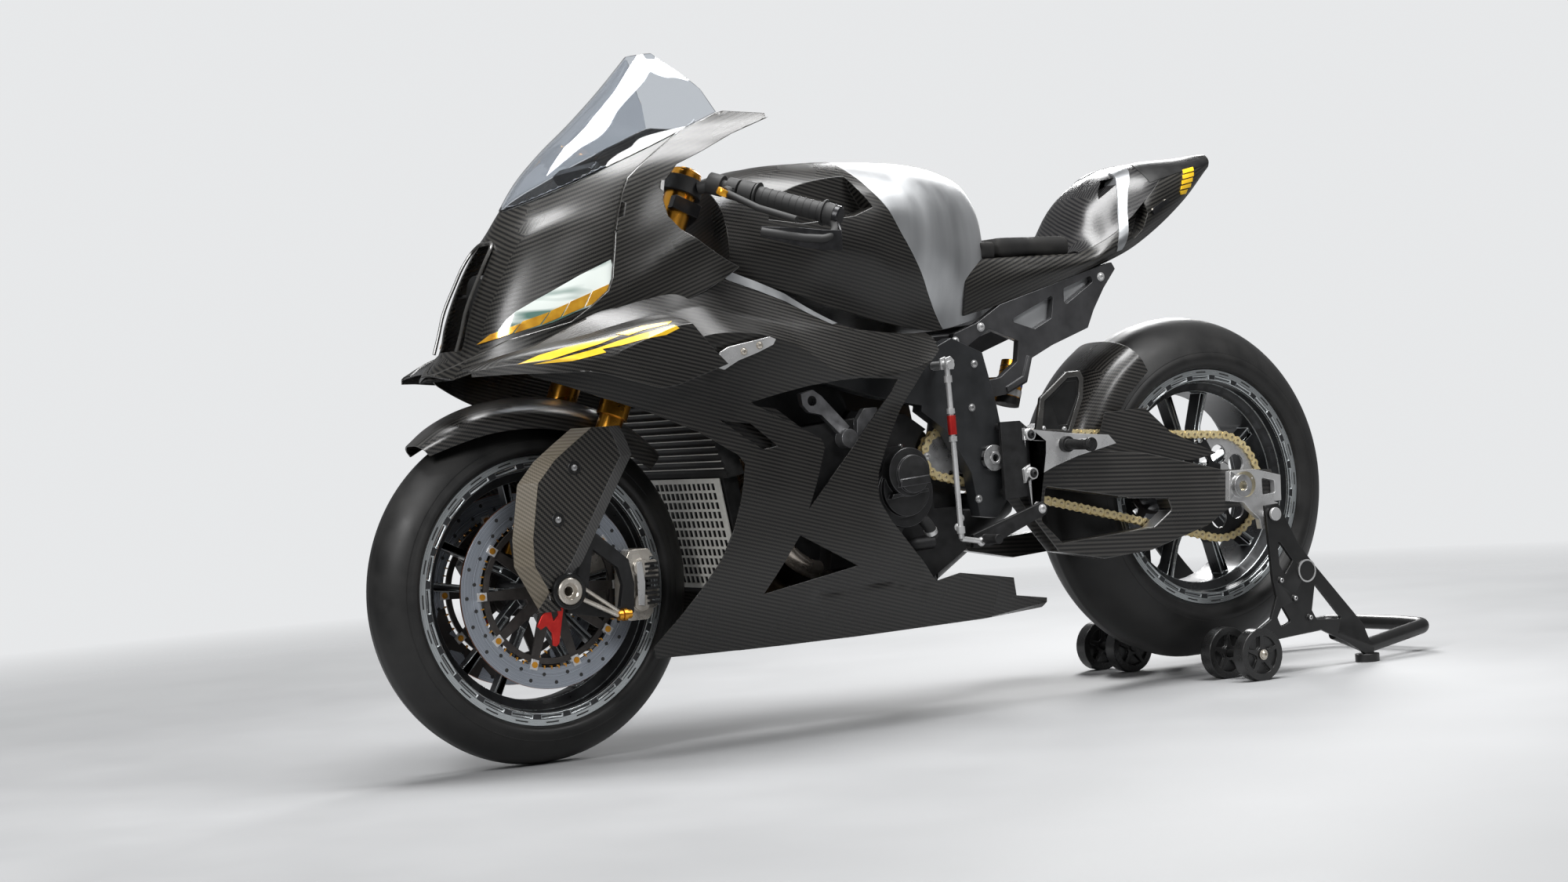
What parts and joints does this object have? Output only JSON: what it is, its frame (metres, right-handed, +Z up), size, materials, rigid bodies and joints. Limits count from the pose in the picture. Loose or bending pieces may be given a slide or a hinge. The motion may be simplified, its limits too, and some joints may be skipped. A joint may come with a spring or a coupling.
{
  "type": "race sport bike on a rear paddock stand",
  "caption": "Race sport bike with a satin carbon fairing, held by its rear spools on a paddock stand with casters.",
  "frame": {"origin": "on the floor under the middle of the bike and its stand", "axes": "+Z up; the bike faces -X; its left side is -Y"},
  "size_m": [2.278, 0.7288, 1.219],
  "materials": {
    "satin_carbon": "satin",
    "frame_paint": "satin",
    "engine_black": "satin",
    "radiator_black": "satin",
    "titanium": "satin",
    "screen_clear": "clear",
    "brushed_aluminium": "brushed",
    "gloss_black": "gloss",
    "foam": "matte",
    "bare_aluminium": "satin",
    "gold_anodised": "satin",
    "black_plastic": "matte",
    "gold_steel": "satin",
    "bare_steel": "satin",
    "stand_paint": "satin",
    "black_rubber": "matte",
    "tyre_rubber": "matte",
    "rim_paint": "satin"
  },
  "bodies": {
    "bike": {"main_frame": "frame_paint", "engine": "engine_black", "engine_cover_left": "engine_black", "engine_cover_right": "engine_black", "radiator": "radiator_black", "exhaust": "titanium", "fairing_upper": "satin_carbon", "windscreen": "screen_clear", "fairing_left": "satin_carbon", "fairing_right": "satin_carbon", "winglet_left": "satin_carbon", "winglet_right": "satin_carbon", "belly_pan": "satin_carbon", "tank_cover": "satin_carbon", "fuel_tank": "brushed_aluminium", "tail_unit": "satin_carbon", "tail_hump": "gloss_black", "seat_pad": "foam", "seat_front_pad": "foam", "swingarm": "satin_carbon", "pivot_shaft": "frame_paint", "rear_axle": "bare_aluminium", "shock_absorber": "gold_anodised", "rear_hugger": "satin_carbon", "rear_caliper": "bare_aluminium", "rearset_left": "bare_aluminium", "rearset_right": "bare_aluminium", "shift_rod": "bare_aluminium", "subframe": "frame_paint", "dashboard": "black_plastic", "chain": "gold_steel", "front_sprocket": "bare_steel", "stand_frame": "stand_paint"},
    "steering": {"fork_left": "gold_anodised", "fork_right": "gold_anodised", "triple_clamps": "frame_paint", "handlebar_left": "black_rubber", "handlebar_right": "black_rubber", "front_fender": "satin_carbon", "fork_guard_left": "satin_carbon", "fork_guard_right": "satin_carbon", "front_calipers": "bare_aluminium", "front_axle": "bare_aluminium"},
    "front_wheel": {"front_tyre": "tyre_rubber", "front_rim": "rim_paint", "front_discs": "bare_steel"},
    "rear_wheel": {"rear_tyre": "tyre_rubber", "rear_rim": "rim_paint", "rear_sprocket": "bare_steel", "rear_disc": "bare_steel"},
    "stand_caster_left": {"caster_left": "black_plastic"},
    "stand_caster_right": {"caster_right": "black_plastic"}
  },
  "joints": [
    {"name": "steering_turn", "type": "hinge", "parent": "bike", "child": "steering", "pos_m": [-0.80735, 0, 0.3], "axis": [0.4003, 0, 0.9164], "range_deg": [-22, 22]},
    {"name": "front_wheel_spin", "type": "hinge", "parent": "steering", "child": "front_wheel", "pos_m": [-0.839, 0, 0.3], "axis": [0, 1, 0], "continuous": true},
    {"name": "rear_wheel_spin", "type": "hinge", "parent": "bike", "child": "rear_wheel", "pos_m": [0.618, 0, 0.372], "axis": [0, 1, 0], "continuous": true},
    {"name": "caster_left_spin", "type": "hinge", "parent": "bike", "child": "stand_caster_left", "pos_m": [0.579, -0.196, 0.05], "axis": [0, 1, 0], "continuous": true},
    {"name": "caster_right_spin", "type": "hinge", "parent": "bike", "child": "stand_caster_right", "pos_m": [0.579, 0.196, 0.05], "axis": [0, 1, 0], "continuous": true}
  ]
}
